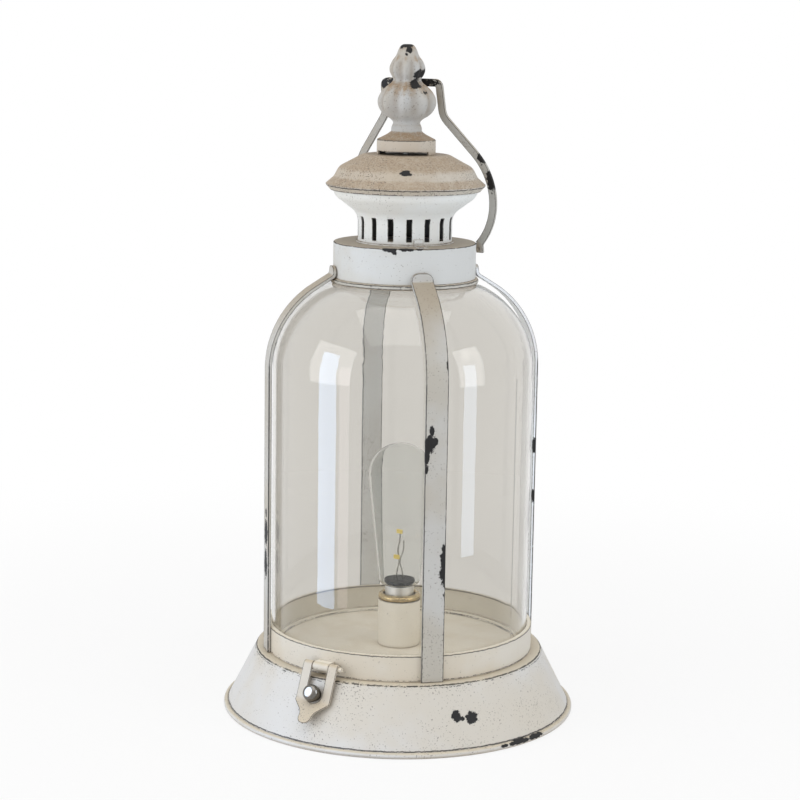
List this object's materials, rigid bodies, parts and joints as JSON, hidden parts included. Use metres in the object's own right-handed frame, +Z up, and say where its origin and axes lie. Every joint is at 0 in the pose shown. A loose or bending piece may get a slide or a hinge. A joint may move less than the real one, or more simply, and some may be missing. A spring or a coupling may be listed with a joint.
{
  "type": "lantern table lamp",
  "caption": "Lantern table lamp: a glass dome in a strapped metal cage tilts back on its spun foot, under a vented roof with a cast finial, a carrying bail and a front hasp.",
  "frame": {"origin": "centre of the underside of the foot's rolled rim, on the table", "axes": "+Z up the lamp's axis, -Y towards the front hasp, +Y towards the rear hinge"},
  "size_m": [0.267, 0.267, 0.5],
  "materials": {
    "distressed_paint": "matt, rubbed through to black at the edges",
    "clear_glass": "clear, faint warm grey",
    "brass": "polished",
    "nickel": "polished nickel",
    "zinc_steel": "zinc plated",
    "white_insulator": "moulded",
    "black_plastic": "moulded",
    "cell_wrap": "printed sleeve, plain",
    "board_green": "solder mask",
    "red_wire": "insulated wire",
    "led_yellow": "phosphor chip"
  },
  "bodies": {
    "foot": {"base_shell": "distressed_paint", "latch_stud": "nickel", "latch_stud_nut": "zinc_steel", "hinge_lower_leaf": "distressed_paint", "hinge_pin": "zinc_steel", "socket_cup": "distressed_paint", "socket_collet": "brass", "holder_sleeve": "zinc_steel", "holder_base": "white_insulator", "holder_plungers": "brass", "socket_nipple": "zinc_steel", "nipple_nut": "zinc_steel", "battery_box": "black_plastic", "battery_cell_front": "cell_wrap", "battery_cell_middle": "cell_wrap", "battery_cell_rear": "cell_wrap", "contacts_left": "nickel", "contacts_right": "nickel", "timer_board": "board_green", "switch_body": "black_plastic", "lead_wire_red": "red_wire", "lead_wire_black": "black_plastic"},
    "cage": {"cage_ring": "distressed_paint", "glass_dome": "clear_glass", "neck_collar": "distressed_paint", "collar_bead": "distressed_paint", "vent_chimney": "distressed_paint", "chimney_seam": "distressed_paint", "roof": "distressed_paint", "vent_cap": "distressed_paint", "finial": "distressed_paint", "finial_stud": "zinc_steel", "finial_nut": "zinc_steel", "strap_front_right": "distressed_paint", "strap_front_left": "distressed_paint", "strap_rear_right": "distressed_paint", "strap_rear_left": "distressed_paint", "hinge_upper_leaf": "distressed_paint", "latch_lug": "distressed_paint", "latch_pin": "distressed_paint"},
    "hasp": {"latch_hasp": "distressed_paint"},
    "bail": {"bail_handle": "distressed_paint"},
    "bulb": {"bulb_glass": "clear_glass", "bulb_cap": "nickel", "bulb_disc": "black_plastic", "bulb_leads": "nickel", "bulb_chips": "led_yellow"},
    "switch": {"switch_slider": "black_plastic"},
    "battery_door": {"battery_door": "black_plastic"}
  },
  "joints": [
    {"name": "cage_hinge", "type": "hinge", "parent": "foot", "child": "cage", "pos_m": [0, 0.1054, 0.0502], "axis": [-1, 0, 0], "range_deg": [0, 95]},
    {"name": "hasp_hinge", "type": "hinge", "parent": "cage", "child": "hasp", "pos_m": [0, -0.1065, 0.055], "axis": [-1, 0, 0], "range_deg": [0, 120]},
    {"name": "bail_hinge", "type": "hinge", "parent": "cage", "child": "bail", "pos_m": [0, 0.03748, 0.3497], "axis": [-1, 0, 0], "range_deg": [0, 120]},
    {"name": "bulb_turn", "type": "hinge", "parent": "foot", "child": "bulb", "pos_m": [0, 0, 0.062], "axis": [0, 0, 1], "range_deg": [0, 15]},
    {"name": "switch_slide", "type": "slide", "parent": "foot", "child": "switch", "axis": [-1, 0, 0], "range_m": [0, 0.004]},
    {"name": "battery_door_slide", "type": "slide", "parent": "foot", "child": "battery_door", "axis": [1, 0, 0], "range_m": [0, 0.06]}
  ]
}
